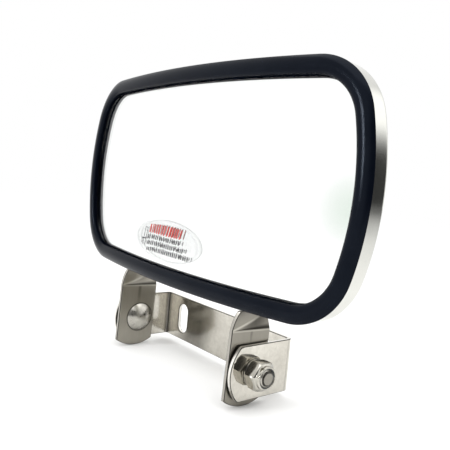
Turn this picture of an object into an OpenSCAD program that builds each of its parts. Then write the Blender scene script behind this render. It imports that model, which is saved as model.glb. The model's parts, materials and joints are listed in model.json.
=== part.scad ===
// Convex mirror with a rubber rim, held by two twisted arms on a U-shaped tilt bracket.
// Millimetres, +Z up. Origin: centre of the bracket's mounting face. The glass looks along -Y.

/* [Bracket] */
// Length of the bracket over the outside of its two ears
bracket_w = 132; // [124:1:150]
// Height of the bracket's strip
bracket_h = 32; // [30:1:38]
// Reach of the ears from the mounting face to the nose
ear_reach = 48; // [46:1:56]
// Thickness of the stainless sheet of bracket and arms
sheet = 2.5; // [2:0.25:3]
// Outside radius of the bracket's two folds
fold_r = 4; // [3.5:0.5:6]
// Radius of the curved nose of an ear
nose_r = 22; // [20:1:30]
// Radius that blends the nose into the top and bottom edges
nose_blend = 3; // [1:0.5:4]
// Width of a mounting slot
slot_w = 11; // [8:0.5:12]
// Length of a mounting slot, end to end
slot_len = 21.5; // [16:0.5:24]
// Distance between the centre lines of the two slots
slot_pitch = 88; // [70:1:92]

/* [Pivot] */
// Distance from the nose of an ear back to the pivot axis
pivot_setback = 17.5; // [16:0.5:20]
// Diameter of the pivot bolts
bolt_d = 10; // [8:1:10]
// Diameter of a bolt's domed head
dome_d = 20; // [16:0.5:22]
// Height of a bolt's domed head
dome_h = 5; // [4:0.5:6]
// Thickness of the friction washer between arm and ear
friction_t = 1; // [0.5:0.25:1.5]
// Thickness of the flat washer under a nut
washer_t = 1.6; // [1:0.2:2.5]
// Width of a lock nut across its flats
nut_af = 16; // [15:0.5:17]
// Length of a lock nut's hexagon
nut_hex_h = 7.6; // [6:0.2:9]
// Length of the round collar that holds the nylon ring
nut_collar_h = 2.2; // [2:0.2:3]
// Angle at which the nuts came to rest
nut_turn = -34; // [-60:1:60]

/* [Arms] */
// Width of an arm's strip
arm_w = 29; // [26:0.5:30]
// How far the strip's centre line lies in front of the pivot axis
arm_offset = 2.4; // [0:0.2:4]
// Depth of the bottom corners below the pivot axis
arm_drop = 16.3; // [14:0.5:18]
// Extra depth of the shallow arc at each end of the strip
arm_end_arc = 4.4; // [2:0.2:6]
// Height of the crease where the twist begins
crease_z = 24; // [22:0.5:26]
// Height at which the strip has turned square to the mirror
twist_top_z = 55; // [52:1:56]
// Share of the quarter turn that runs evenly from the crease upwards
twist_share = 0.3; // [0.1:0.05:0.5]
// Lean of the small folded wedge right above the crease
fold_slope = 0.25; // [0:0.05:0.3]
// Height of the top corners of the strip
arm_top_z = 98; // [94:1:110]
// Height of an arm's lower screw
lower_screw_z = 64; // [63:1:68]
// Height of an arm's upper screw
upper_screw_z = 87; // [78:1:88]

/* [Mirror head] */
// Backward lean of the whole head at rest
lean = 2.4; // [0:0.2:8]
// Height of the glass centre above the pivot axis
head_z = 105.3; // [104:0.1:112]
// Half width of the visible glass, at mid height
glass_half_w = 127.8; // [120:0.1:132]
// Half height of the visible glass, at mid width
glass_half_h = 59.3; // [56:0.1:61]
// Bulge of the long edges
long_bulge = 3.3; // [2:0.1:5]
// Bulge of the short edges
short_bulge = 13; // [10:0.1:16]
// Corner radius of the visible glass
corner_r = 27.3; // [22:0.1:30]
// Radius of curvature of the glass
glass_r = 1000; // [900:10:1400]
// Thickness of the glass
glass_t = 3; // [2.5:0.1:3.2]
// How far the crown of the glass lies in front of the pivot axis
crown_y = 18.6; // [17:0.1:20]
// Width of the rubber rim seen from the front
rim_w = 10.1; // [9:0.1:11]
// How far the rubber rim stands in front of the glass
rim_lip = 4.2; // [3.5:0.1:5]
// How far the front edge of the shell stands in front of the glass
rim_back = 2.3; // [1:0.1:2.5]
// How far the back of the shell lies behind the pivot axis
shell_back_y = 0.5; // [0:0.5:3]
// Thickness of the shell
shell_t = 1; // [0.8:0.1:1]
// Radius of the edge round the back of the shell
shell_edge_r = 3; // [2:0.5:4]
// Width of the film label
label_w = 72; // [20:1:80]
// Height of the film label
label_h = 27; // [10:1:30]
// Place of the label's centre, to the side of the middle
label_x = -12; // [-60:1:60]
// Height of the label's centre above the pivot axis
label_z = 63; // [62:1:130]

/* [Hidden] */
$fn = 96;
cut = 1;                                 // overshoot of every cutting body

// Pivot stack, along X from the middle outwards. Bores are larger than their bolts by a radial gap.
ear_out = bracket_w / 2;
ear_in = ear_out - sheet;
arm_out = ear_in - friction_t;
arm_in = arm_out - sheet;
nut_x = ear_out + washer_t;
nut_end = nut_x + nut_hex_h + nut_collar_h;
bolt_tip = 0.7;                          // stands out of the nut
bolt_end = nut_end + bolt_tip;
bolt_r = bolt_d / 2;
run_gap = 0.08;                          // radial running clearance of a bolt in its ear
neck_w = bolt_d;                         // square neck under the domed head
neck_gap = 0.1;
bolt_chamfer = 1;
friction_r = 1.1 * bolt_d;
friction_gap = 0.2;
washer_r = 0.8 * bolt_d;
washer_gap = 0.25;
nut_bottom_chamfer = 0.8;
nut_top_chamfer = 1.2;
collar_r = 0.43 * nut_af;
collar_chamfer = 0.6;
nylon_w = 1;                             // radial thickness of a nylon ring
nylon_h = 1.6;
nylon_x = nut_x + nut_hex_h - 0.3;       // the ring starts just inside the hexagon
pivot_y = -(ear_reach - pivot_setback);

// Arms and their screws
arm_x = (arm_in + arm_out) / 2;
twist_steps = 20;
twist_columns = 6;
screw_zs = [lower_screw_z, upper_screw_z];
screw_d = 5;
screw_gap = 0.25;
screw_head_d = 9.5;
screw_head_h = 3.2;
screw_head_chamfer = 1;
screw_tip = 1;                           // stands out of the clinch nut
socket_d = 3.4;
socket_depth = 1.8;
screw_washer_t = 1;
screw_washer_gap = 0.15;
clinch_d = 9;
clinch_h = 4;
clinch_neck_d = 7;
clinch_gap = 0.05;

// Rubber rim: levels are measured backwards from the front face of the glass
glass_grip = 3;                          // glass hidden inside the rim
groove_gap = 0.2;
rim_cover = 0.5;                         // how far the rubber stands out beyond the shell
shell_out = rim_w - rim_cover;           // shell outline beyond the visible glass
leg_gap = 0.2;
rim_leg = shell_out - shell_t - leg_gap; // outside of the leg inside the shell
rim_leg_in = -1;                         // the leg reaches a little under the glass
rim_leg_depth = 5;
relief = 0.8;                            // room between an arm and the rim
glass_side = -crown_y - 2 * rim_lip;     // a depth in front of the whole head
film_t = 0.15;
pad_w = 76;
pad_h = 72;

// Barrel outline: four large discs joined by four corner discs
long_r = (glass_half_w ^ 2 + long_bulge ^ 2) / (2 * long_bulge);
short_r = (glass_half_h ^ 2 + short_bulge ^ 2) / (2 * short_bulge);
long_c = [0, glass_half_h - long_r];
short_c = [glass_half_w - short_r, 0];
corner_c = meeting(long_c, long_r - corner_r, short_c, short_r - corner_r);
to_long = unit(corner_c - long_c);
to_short = unit(corner_c - short_c);

function unit(v) = v / norm(v);
function turned(v, a) = [v[0] * cos(a) - v[1] * sin(a), v[0] * sin(a) + v[1] * cos(a)];
function smooth(t) = t * t * (3 - 2 * t);

// The point at distance ra from a and rb from b, on the right-hand side of the line a to b
function meeting(a, ra, b, rb) =
  let (d = norm(b - a), along = (ra * ra - rb * rb + d * d) / (2 * d), e = unit(b - a))
  a + along * e + sqrt(ra * ra - along * along) * [e[1], -e[0]];

// An arc as points, from angle a0 to a1
function arc(c, r, a0, a1, n) = [
  for (i = [0:n - 1])
    let (a = a0 + (a1 - a0) * i / n)
    c + r * [cos(a), sin(a)]
];

// The barrel outline as points, grown outwards by g
function quarter(g) =
  let (a_short = atan2(to_short[1], to_short[0]), a_long = atan2(to_long[1], to_long[0]))
  concat(
    arc(short_c, short_r + g, 0, a_short, 6),
    arc(corner_c, corner_r + g, a_short, a_long, 10),
    arc(long_c, long_r + g, a_long, 90, 8)
  );
function flipped(p, sx, sy) = [for (q = p) [sx * q[0], sy * q[1]]];
function reversed(p) = [for (i = [len(p) - 1:-1:0]) p[i]];
function ring_points(g) =
  let (q = quarter(g), top = [0, glass_half_h + g], side = [glass_half_w + g, 0], n = len(q) - 1,
       rest = [for (i = [1:n]) q[i]])
  concat(q, [top], reversed(flipped(rest, -1, 1)), [-side], flipped(rest, -1, -1), [-top],
         reversed(flipped(rest, 1, -1)));

module barrel(g) {
  polygon(ring_points(g));
}

// Places head parts: the pivot axis is the origin, leaning back by the rest angle
module head() {
  translate([0, pivot_y, 0])
    rotate([-lean, 0, 0])
      children();
}

// A prism of a flat outline from y0 back to y1, centred on the glass
module slab(y0, y1) {
  translate([0, y1, head_z])
    rotate([90, 0, 0])
      linear_extrude(y1 - y0)
        children();
}

// The ball whose surface lies a given depth behind the front face of the glass
module ball(depth) {
  translate([0, glass_r - crown_y, head_z])
    rotate([90, 0, 0])
      sphere(glass_r - depth, $fn = 360);
}

// A cylinder along X from x0 to x1, on the pivot axis
module rod(r, x0, x1, r2 = undef) {
  translate([x0, 0, 0])
    rotate([0, 90, 0])
      cylinder(h = x1 - x0, r1 = r, r2 = is_undef(r2) ? r : r2);
}

// Puts a pivot part, drawn for the right-hand side, on side s: 1 is right, -1 is left
module on_side(s) {
  mirror([s < 0 ? 1 : 0, 0, 0])
    children();
}

// ---- bracket ----

module corner_blended_nose() {
  nose_c = -(ear_reach - nose_r);
  blend_z = bracket_h / 2 - nose_blend;
  blend_y = nose_c - sqrt((nose_r - nose_blend) ^ 2 - blend_z ^ 2);
  out = 2 * unit([blend_y - nose_c, blend_z]) * nose_r;
  translate([blend_y, -bracket_h / 2])
    square([-blend_y, bracket_h]);
  for (s = [-1, 1])
    translate([blend_y, s * blend_z])
      circle(nose_blend);
  intersection() {
    translate([nose_c, 0])
      circle(nose_r);
    polygon([[nose_c, 0], [nose_c + out[0], out[1]], [nose_c + out[0], -out[1]]]);
  }
}

module u_profile(w, depth, r) {
  translate([-w / 2, -depth])
    square([w, depth - r]);
  translate([-w / 2 + r, -r])
    square([w - 2 * r, r]);
  for (s = [-1, 1])
    translate([s * (w / 2 - r), -r])
      circle(r);
}

module slot() {
  half = slot_len / 2 - slot_w / 2;
  rotate([90, 0, 0])
    translate([0, 0, -cut]) {
      for (s = [-1, 1])
        translate([0, s * half, 0])
          cylinder(h = sheet + 2 * cut, d = slot_w);
      translate([-slot_w / 2, -half, 0])
        cube([slot_w, 2 * half, sheet + 2 * cut]);
    }
}

module u_bracket() {
  color([0.78, 0.77, 0.73])
    difference() {
      intersection() {
        translate([0, 0, -bracket_h / 2])
          linear_extrude(bracket_h)
            difference() {
              u_profile(bracket_w, ear_reach, fold_r);
              translate([0, -sheet])
                u_profile(bracket_w - 2 * sheet, ear_reach, fold_r - sheet);
            }
        translate([-bracket_w / 2 - cut, 0, 0])
          rotate([90, 0, 90])
            linear_extrude(bracket_w + 2 * cut)
              corner_blended_nose();
      }
      for (s = [-1, 1]) {
        translate([s * slot_pitch / 2, 0, 0])
          slot();
        on_side(s)
          translate([0, pivot_y, 0])
            rod(bolt_r + run_gap, ear_in - cut, ear_out + cut);
      }
    }
}

// ---- pivot hardware ----

module ring(r_out, r_in, x0, x1) {
  difference() {
    rod(r_out, x0, x1);
    rod(r_in, x0 - cut, x1 + cut);
  }
}

module friction_washer(s) {
  color([0.2, 0.2, 0.21])
    on_side(s)
      translate([0, pivot_y, 0])
        ring(friction_r, bolt_r + friction_gap, arm_out, ear_in);
}

module flat_washer(s) {
  color([0.75, 0.75, 0.74])
    on_side(s)
      translate([0, pivot_y, 0])
        ring(washer_r, bolt_r + washer_gap, ear_out, nut_x);
}

module pivot_bolt(s) {
  dome_r = (dome_d ^ 2 / 4 + dome_h ^ 2) / (2 * dome_h);
  color([0.8, 0.8, 0.78])
    head()
      on_side(s) {
        intersection() {
          translate([arm_in - dome_h + dome_r, 0, 0])
            sphere(dome_r, $fn = 192);
          translate([arm_in - 2 * dome_h, -dome_d, -dome_d])
            cube([2 * dome_h, 2 * dome_d, 2 * dome_d]);
        }
        translate([arm_in, -neck_w / 2, -neck_w / 2])
          cube([sheet - neck_gap, neck_w, neck_w]);
        rod(bolt_r, arm_in, bolt_end - bolt_chamfer);
        rod(bolt_r, bolt_end - bolt_chamfer, bolt_end, bolt_r - bolt_chamfer);
      }
}

module lock_nut(s) {
  hex_r = nut_af / 2 / cos(30);
  hex_end = nut_x + nut_hex_h;
  color([0.76, 0.75, 0.72])
    head()
      on_side(s)
        rotate([s * nut_turn, 0, 0])
          difference() {
            union() {
              intersection() {
                rod_hex(hex_r, nut_x, hex_end);
                union() {
                  rod(nut_af / 2, nut_x, nut_x + nut_bottom_chamfer, hex_r);
                  rod(hex_r + cut, nut_x + nut_bottom_chamfer, hex_end - nut_top_chamfer);
                  rod(hex_r, hex_end - nut_top_chamfer, hex_end, collar_r);
                }
              }
              rod(collar_r, hex_end - collar_chamfer, nut_end - collar_chamfer);
              rod(collar_r, nut_end - collar_chamfer, nut_end, collar_r - collar_chamfer);
            }
            rod(bolt_r + run_gap, nut_x - cut, nut_end + cut);
            rod(bolt_r + run_gap + nylon_w, nylon_x, nylon_x + nylon_h);
          }
}

module rod_hex(r, x0, x1) {
  translate([x0, 0, 0])
    rotate([0, 90, 0])
      rotate([0, 0, 90])
        cylinder(h = x1 - x0, r = r, $fn = 6);
}

module nylon_ring(s) {
  color([0.85, 0.85, 0.82])
    head()
      on_side(s)
        ring(bolt_r + run_gap + nylon_w, bolt_r + run_gap, nylon_x, nylon_x + nylon_h);
}

// ---- arms ----

// A strip end: a straight edge at z = 0 with a shallow arc below it
module strip_end() {
  r = (arm_w ^ 2 / 4 + arm_end_arc ^ 2) / (2 * arm_end_arc);
  intersection() {
    translate([0, r - arm_end_arc])
      circle(r, $fn = 192);
    translate([-arm_w / 2, -arm_end_arc - cut])
      square([arm_w, arm_end_arc + cut]);
  }
}

// The twisted stretch, for t from 0 at the crease to 1, square to the mirror
twist_h = twist_top_z - crease_z;
function strip_y(t) = -arm_offset + (shell_back_y + sheet / 2 + arm_offset) * smooth(t ^ 1.2);
function strip_angle(t) = 90 * (twist_share * t + (1 - twist_share) * smooth(t ^ 2));

// The folded wedge starts at the crease; its upper line climbs one step per column towards the back edge
function fold(t, i) = fold_slope * twist_h * min(t, i / twist_steps) * (1 - smooth(t));
function strip_section(t) = [
  for (c = concat([for (i = [0:twist_columns]) [1, i]], [for (i = [twist_columns:-1:0]) [-1, i]]))
    let (h = c[0] * sheet / 2 - fold(t, c[1]),
         p = turned([h, arm_w * (c[1] / twist_columns - 1 / 2)], strip_angle(t)))
    [p[0], strip_y(t) + p[1], crease_z + twist_h * t]
];

module twist() {
  n = 2 * (twist_columns + 1);
  points = [for (i = [0:twist_steps]) each strip_section(i / twist_steps)];
  sides = [
    for (i = [0:twist_steps - 1], k = [0:n - 1])
      let (a = n * i + k, b = n * i + (k + 1) % n)
      each k <= twist_columns ? [[a, a + n, b + n], [a, b + n, b]] : [[a, a + n, b], [b, a + n, b + n]]
  ];
  ends = [
    for (k = [0:twist_columns - 1], top = [0, n * twist_steps])
      let (a = k + top, b = n - 1 - k + top)
      each top == 0 ? [[a, a + 1, b - 1], [a, b - 1, b]] : [[b, b - 1, a], [b - 1, a + 1, a]]
  ];
  polyhedron(points, concat(sides, ends), convexity = 6);
}

module arm(s) {
  color([0.62, 0.61, 0.57])
    head()
      translate([s * arm_x, 0, 0])
        difference() {
          union() {
            translate([-sheet / 2, -arm_offset, 0])
              rotate([90, 0, 90])
                linear_extrude(sheet) {
                  translate([-arm_w / 2, -arm_drop])
                    square([arm_w, arm_drop + crease_z]);
                  translate([0, -arm_drop])
                    strip_end();
                }
            twist();
            translate([0, shell_back_y + sheet, 0])
              rotate([90, 0, 0])
                linear_extrude(sheet) {
                  translate([-arm_w / 2, twist_top_z])
                    square([arm_w, arm_top_z - twist_top_z]);
                  translate([0, arm_top_z])
                    mirror([0, 1])
                      strip_end();
                }
          }
          translate([-s * arm_x, 0, 0])
            slab(glass_side, shell_back_y)
              barrel(rim_w + relief);
          translate([-sheet, -neck_w / 2 - neck_gap, -neck_w / 2 - neck_gap])
            cube([2 * sheet, neck_w + 2 * neck_gap, neck_w + 2 * neck_gap]);
          for (z = screw_zs)
            translate([0, 0, z])
              y_rod(screw_d / 2 + screw_gap, shell_back_y - cut, shell_back_y + sheet + cut);
        }
}

// A cylinder along Y from y0 back to y1
module y_rod(r, y0, y1) {
  translate([0, y1, 0])
    rotate([90, 0, 0])
      cylinder(h = y1 - y0, r = r);
}

module at_screws(s) {
  head()
    for (z = screw_zs)
      translate([s * arm_x, 0, z])
        children();
}

module arm_screws(s) {
  seat = shell_back_y + sheet + screw_washer_t;
  head_end = seat + screw_head_h;
  color([0.8, 0.8, 0.79])
    at_screws(s)
      difference() {
        union() {
          y_rod(screw_d / 2, shell_back_y - shell_t - clinch_h - screw_tip, seat);
          y_rod(screw_head_d / 2, seat, head_end - screw_head_chamfer);
          translate([0, head_end, 0])
            rotate([90, 0, 0])
              cylinder(h = screw_head_chamfer, d1 = screw_head_d - 2 * screw_head_chamfer, d2 = screw_head_d);
        }
        translate([0, head_end + cut, 0])
          rotate([90, 0, 0])
            cylinder(h = socket_depth + cut, d = socket_d, $fn = 6);
      }
}

module screw_washers(s) {
  color([0.75, 0.75, 0.74])
    at_screws(s)
      difference() {
        y_rod(screw_d, shell_back_y + sheet, shell_back_y + sheet + screw_washer_t);
        y_rod(screw_d / 2 + screw_washer_gap, shell_back_y, shell_back_y + 2 * sheet + screw_washer_t);
      }
}

module clinch_nuts(s) {
  floor_y = shell_back_y - shell_t;
  color([0.7, 0.7, 0.68])
    at_screws(s)
      difference() {
        union() {
          y_rod(clinch_d / 2, floor_y - clinch_h, floor_y);
          y_rod(clinch_neck_d / 2, floor_y - cut, shell_back_y);
        }
        y_rod(screw_d / 2 + clinch_gap, floor_y - clinch_h - cut, shell_back_y + cut);
      }
}

// ---- mirror head ----

// How far the back of the rubber's bulb falls back behind the crown of the glass, at a point of the outline
function sag(p) = glass_r - sqrt((glass_r + rim_back) ^ 2 - p[0] ^ 2 - p[1] ^ 2);

module back_shell() {
  steps = 5;
  inner_r = shell_edge_r - shell_t;
  function edge(g, r, y, i) = let (a = 90 * i / steps) [g - r * (1 - cos(a)), y - r * (1 - sin(a))];
  levels = concat(
    [for (i = [0:steps]) edge(shell_out, shell_edge_r, shell_back_y, i)],
    [for (i = [steps:-1:0]) edge(shell_out - shell_t, inner_r, shell_back_y - shell_t, i)]
  );
  n = len(ring_points(0));
  points = concat(
    rim_ring(shell_out),
    [for (l = levels) each [for (p = ring_points(l[0])) [p[0], l[1], p[1] + head_z]]],
    rim_ring(shell_out - shell_t)
  );
  rows = len(levels) + 2;
  outer_floor = steps + 1;
  sides = [
    for (i = [0:rows - 1], k = [0:n - 1])
      if (i != outer_floor)
        let (j = (i + 1) % rows, k2 = (k + 1) % n)
        [i * n + k, i * n + k2, j * n + k2, j * n + k]
  ];
  floors = [
    [for (k = [0:n - 1]) outer_floor * n + k],
    [for (k = [n - 1:-1:0]) (outer_floor + 1) * n + k]
  ];
  color([0.83, 0.83, 0.8])
    head()
      difference() {
        polyhedron(points, concat(sides, floors), convexity = 8);
        for (s = [-1, 1], z = screw_zs)
          translate([s * arm_x, 0, z])
            y_rod(clinch_neck_d / 2, shell_back_y - shell_t - cut, shell_back_y + cut);
      }
}
function rim_ring(g) = [for (p = ring_points(g)) [p[0], sag(p) - crown_y, p[1] + head_z]];

module foam_pad() {
  color([0.25, 0.25, 0.26])
    head()
      intersection() {
        slab(glass_side, shell_back_y - shell_t)
          square([pad_w, pad_h], center = true);
        ball(glass_t);
      }
}

module mirror_glass() {
  color([0.93, 0.95, 0.95])
    head()
      difference() {
        intersection() {
          slab(glass_side, 0)
            barrel(glass_grip);
          ball(0);
        }
        ball(glass_t);
      }
}

module rim_gasket() {
  groove = glass_grip + groove_gap;
  color([0.09, 0.1, 0.13])
    head() {
      difference() {
        intersection() {
          slab(glass_side, 0)
            barrel(rim_w);
          ball(-rim_lip);
        }
        ball(-rim_back);
        slab(glass_side - cut, cut)
          barrel(0);
      }
      difference() {
        intersection() {
          slab(glass_side, rim_leg_depth)
            barrel(rim_leg);
          ball(-rim_back);
        }
        ball(rim_leg_depth);
        slab(glass_side - cut, rim_leg_depth + cut)
          barrel(rim_leg_in);
        difference() {
          slab(glass_side - cut, cut)
            barrel(0);
          ball(0);
        }
        difference() {
          intersection() {
            slab(glass_side - cut, rim_leg_depth + cut)
              barrel(groove);
            ball(0);
          }
          ball(glass_t + groove_gap);
        }
      }
    }
}

module film_label() {
  color([0.9, 0.55, 0.5])
    head()
      difference() {
        intersection() {
          translate([label_x, 0, label_z - head_z])
            slab(glass_side, 0)
              label_outline();
          ball(-film_t);
        }
        ball(0);
      }
}

module label_outline() {
  polygon([for (a = [0:4:356]) [label_w / 2 * cos(a), label_h / 2 * sin(a)]]);
}

u_bracket();
friction_washer(-1);  // left_friction_washer
friction_washer(1);  // right_friction_washer
flat_washer(-1);  // left_flat_washer
flat_washer(1);  // right_flat_washer
lock_nut(-1);  // left_lock_nut
lock_nut(1);  // right_lock_nut
nylon_ring(-1);  // left_nylon_ring
nylon_ring(1);  // right_nylon_ring
pivot_bolt(-1);  // left_pivot_bolt
pivot_bolt(1);  // right_pivot_bolt
arm(-1);  // left_arm
arm(1);  // right_arm
arm_screws(-1);  // left_arm_screws
arm_screws(1);  // right_arm_screws
screw_washers(-1);  // left_screw_washers
screw_washers(1);  // right_screw_washers
clinch_nuts(-1);  // left_clinch_nuts
clinch_nuts(1);  // right_clinch_nuts
back_shell();
foam_pad();
mirror_glass();
rim_gasket();
film_label();
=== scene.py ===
"""Convex mirror with a rubber rim on twisted arms and a tilt bracket: looks, light and camera.

Lengths are written in millimetres and turned into metres by MM. Head parts are drawn upright with the pivot
axis at the origin (x to the side, y towards the back, z up) and then leaned back by LEAN.
"""
import json
import math
import random

import bmesh
import bpy
from mathutils import Matrix, Vector
from mathutils.geometry import delaunay_2d_cdt


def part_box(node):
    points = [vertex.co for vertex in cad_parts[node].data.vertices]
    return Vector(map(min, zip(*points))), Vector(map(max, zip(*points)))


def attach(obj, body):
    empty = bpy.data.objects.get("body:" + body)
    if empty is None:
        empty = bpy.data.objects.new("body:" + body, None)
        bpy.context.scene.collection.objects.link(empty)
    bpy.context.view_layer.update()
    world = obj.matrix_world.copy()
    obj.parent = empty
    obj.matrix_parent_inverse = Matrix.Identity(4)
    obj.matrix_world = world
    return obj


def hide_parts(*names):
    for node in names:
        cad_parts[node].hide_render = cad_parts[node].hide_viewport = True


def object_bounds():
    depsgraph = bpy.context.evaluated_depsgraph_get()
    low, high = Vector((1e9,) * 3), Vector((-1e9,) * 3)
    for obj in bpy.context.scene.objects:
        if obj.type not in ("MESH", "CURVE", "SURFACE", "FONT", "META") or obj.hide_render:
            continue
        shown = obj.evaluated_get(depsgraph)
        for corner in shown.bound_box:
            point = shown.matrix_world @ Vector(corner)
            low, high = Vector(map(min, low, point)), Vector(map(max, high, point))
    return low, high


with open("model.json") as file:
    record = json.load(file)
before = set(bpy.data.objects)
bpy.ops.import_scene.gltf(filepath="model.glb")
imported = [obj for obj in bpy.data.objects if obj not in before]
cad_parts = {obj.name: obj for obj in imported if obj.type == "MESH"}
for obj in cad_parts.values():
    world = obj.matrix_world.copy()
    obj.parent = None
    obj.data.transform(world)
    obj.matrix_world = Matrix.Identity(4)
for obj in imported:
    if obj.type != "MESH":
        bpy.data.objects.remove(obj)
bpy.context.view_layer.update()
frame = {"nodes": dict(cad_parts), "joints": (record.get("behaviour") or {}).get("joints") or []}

MM = 0.001
PI = math.pi
random.seed(7)

# ---- sizes, the bracket's and the pivot's taken from the frame


def box_mm(node):
    """Lowest and highest corner of a CAD node, in mm."""
    low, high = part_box(node)
    return low / MM, high / MM


bracket_low, bracket_high = box_mm("u_bracket")
BRACKET_W = bracket_high.x - bracket_low.x
BRACKET_H = bracket_high.z - bracket_low.z
EAR_REACH = -bracket_low.y
PIVOT_Y = frame["joints"][0]["pos_m"][1] / MM
LEAN = 2.4                      # degrees that the head leans back at rest

SHEET = 2.5
FOLD_R = 4
NOSE_R = 22
NOSE_BLEND = 3
SLOT_W = 11
SLOT_LEN = 21.5
SLOT_X = 44
EDGE = 0.4                      # rounding of sheared sheet edges
EDGE_ROOM = 0.35                # free strip between that rounding and the inner points of a sheet
WELD = 0.002                    # points closer than this are one

FRICTION_T = 1
WASHER_T = 1.6
WASHER_R = 8
WASHER_ROUND = 0.5
FRICTION_R = 11
EAR_OUT = BRACKET_W / 2
EAR_IN = EAR_OUT - SHEET
ARM_OUT = EAR_IN - FRICTION_T
ARM_IN = ARM_OUT - SHEET
ARM_X = (ARM_IN + ARM_OUT) / 2
NUT_X = EAR_OUT + WASHER_T
NUT_AF = 16
NUT_HEX_H = 7.6
NUT_END = NUT_X + NUT_HEX_H + 2.2
NUT_TURN = -34
COLLAR_R = 6.88
NYLON_START = 7.3               # from the nut's bearing face
NYLON_R = 5.9
BOLT_R = 5
BORE_R = 5.08
BOLT_END = NUT_END + 0.7
TIP_BEVEL = 1                   # chamfer on the bolt's tip
THREAD_PITCH = 1.5
THREAD_DEPTH = 0.8
DOME_R = 12.5
DOME_H = 5
DOME_RIM = 0.35

ARM_W = 29
ARM_OFFSET = 2.4
ARM_DROP = 16.3
ARM_ARC = 4.38
CREASE_Z = 24
TWIST_TOP = 55
RELIEF_Z = 35.9                 # the strip's front edge is cut back above this, to clear the shell
TWIST_SHARE = 0.3
FOLD_SLOPE = 0.25
FOLD_CLIMB = 0.3                # height of the fold's upper line at the back edge, as a share of the twist
ARM_TOP = 98
SCREW_ZS = (64, 87)
SCREW_R = 4.75
SCREW_H = 3.2
SCREW_WASHER_T = 1
SCREW_WASHER_R = 5
SCREW_SHANK_R = 2.45
SCREW_HOLE_R = 2.75
SCREW_WASHER_BORE = 2.65

HEAD_Z = 105.3
HALF_W = 127.8
HALF_H = 59.3
LONG_BULGE = 3.3
SHORT_BULGE = 13
CORNER_R = 27.3
GLASS_R = 1000
GLASS_T = 3
CROWN_Y = 18.6
GLASS_GRIP = 3                  # how far the glass runs in under the rim
RIM_W = 10.1
RIM_BACK = 2.3
SHELL_T = 1
SHELL_OUT = RIM_W - 0.5
RIM_LEG = SHELL_OUT - SHELL_T - 0.2
SHELL_BACK = 0.5
SHELL_EDGE = 3
LABEL_X = -12
LABEL_Z = 63
LABEL_W = 72
LABEL_H = 27

# ---- small maths


def smooth(t):
    return t * t * (3 - 2 * t)


def deg_arc(cx, cy, r, a0, a1, n):
    """n + 1 points of an arc, angles in degrees."""
    angles = [math.radians(a0 + (a1 - a0) * i / n) for i in range(n + 1)]
    return [(cx + r * math.cos(a), cy + r * math.sin(a)) for a in angles]


def densified(loop, step=1.0):
    """The closed loop without repeated points and with extra ones, so that no segment is longer than step."""
    out = []
    loop = cleaned(loop)
    for i, p in enumerate(loop):
        q = loop[(i + 1) % len(loop)]
        n = max(1, math.ceil(math.dist(p, q) / step))
        out += [(p[0] + (q[0] - p[0]) * k / n, p[1] + (q[1] - p[1]) * k / n) for k in range(n)]
    return out


def cleaned(loop):
    """The closed loop without repeated points."""
    return [p for i, p in enumerate(loop) if math.dist(p, loop[i - 1]) > 1e-4]


def inset(loop, d):
    """The closed loop moved to its left by d, with mitred corners."""
    out = []
    n = len(loop)
    for i in range(n):
        a, b, c = Vector(loop[i - 1]), Vector(loop[i]), Vector(loop[(i + 1) % n])
        t0, t1 = (b - a).normalized(), (c - b).normalized()
        n0, n1 = Vector((-t0.y, t0.x)), Vector((-t1.y, t1.x))
        m = (n0 + n1).normalized()
        out.append(tuple(b + m * d / max(0.5, m.dot(n0))))
    return out


def inside(p, loop):
    """True if point p lies inside the closed loop."""
    hit = False
    for i in range(len(loop)):
        (x0, y0), (x1, y1) = loop[i - 1], loop[i]
        if (y0 > p[1]) != (y1 > p[1]) and p[0] < x0 + (p[1] - y0) / (y1 - y0) * (x1 - x0):
            hit = not hit
    return hit


def between(p, loops):
    """True inside the first loop and outside all the others."""
    return inside(p, loops[0]) and not any(inside(p, loop) for loop in loops[1:])


AXLE = Matrix.Translation((0, PIVOT_Y, 0))
HEAD = AXLE @ Matrix.Rotation(math.radians(-LEAN), 4, "X")

# ---- building pieces


def new_object(name, data):
    made = bpy.data.objects.new(name, data)
    bpy.context.scene.collection.objects.link(made)
    return made


def make_piece(name, points, faces, body, material, slot, nodes=(), to_frame=None, uvs=None, weighted=True,
               marks=None, extra=(), weld=0.0):
    """A smooth-shaded mesh piece from points in mm, riding on a CAD body and standing for CAD nodes. marks
    gives each face its material, out of material and extra; points closer than weld mm are joined."""
    place = to_frame or Matrix.Identity(4)
    mesh = bpy.data.meshes.new(name)
    mesh.from_pydata([(place @ Vector(p)) * MM for p in points], [], faces)
    for each in (material, *extra):
        mesh.materials.append(each)
    if marks:
        mesh.polygons.foreach_set("material_index", marks)
    if uvs:
        layer = mesh.uv_layers.new(name="run")
        for loop in mesh.loops:
            layer.data[loop.index].uv = uvs[loop.vertex_index]
    mesh.validate()
    work = bmesh.new()
    work.from_mesh(mesh)
    if weld:
        bmesh.ops.remove_doubles(work, verts=work.verts, dist=weld * MM)
    bmesh.ops.recalc_face_normals(work, faces=work.faces)
    work.to_mesh(mesh)
    work.free()
    mesh.shade_smooth()
    piece = new_object(name, mesh)
    if weighted:
        modifier = piece.modifiers.new("flat_faces", "WEIGHTED_NORMAL")
        modifier.keep_sharp = True
        modifier.weight = 80
    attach(piece, body)
    if nodes:
        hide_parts(*nodes)
    return piece


def head_piece(name, shape, material, slot, nodes=(), **more):
    """A piece drawn upright, which leans back with the head."""
    return make_piece(name, *shape, "head", material, slot, nodes, HEAD, **more)


def joined(parts):
    """One point and face list from several."""
    points, faces = [], []
    for p, f in parts:
        faces += [tuple(i + len(points) for i in face) for face in f]
        points += p
    return points, faces


def band(a, b, n):
    """Quads between two closed rows of n points, which start at a and b."""
    return [(a + k, a + (k + 1) % n, b + (k + 1) % n, b + k) for k in range(n)]


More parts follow.
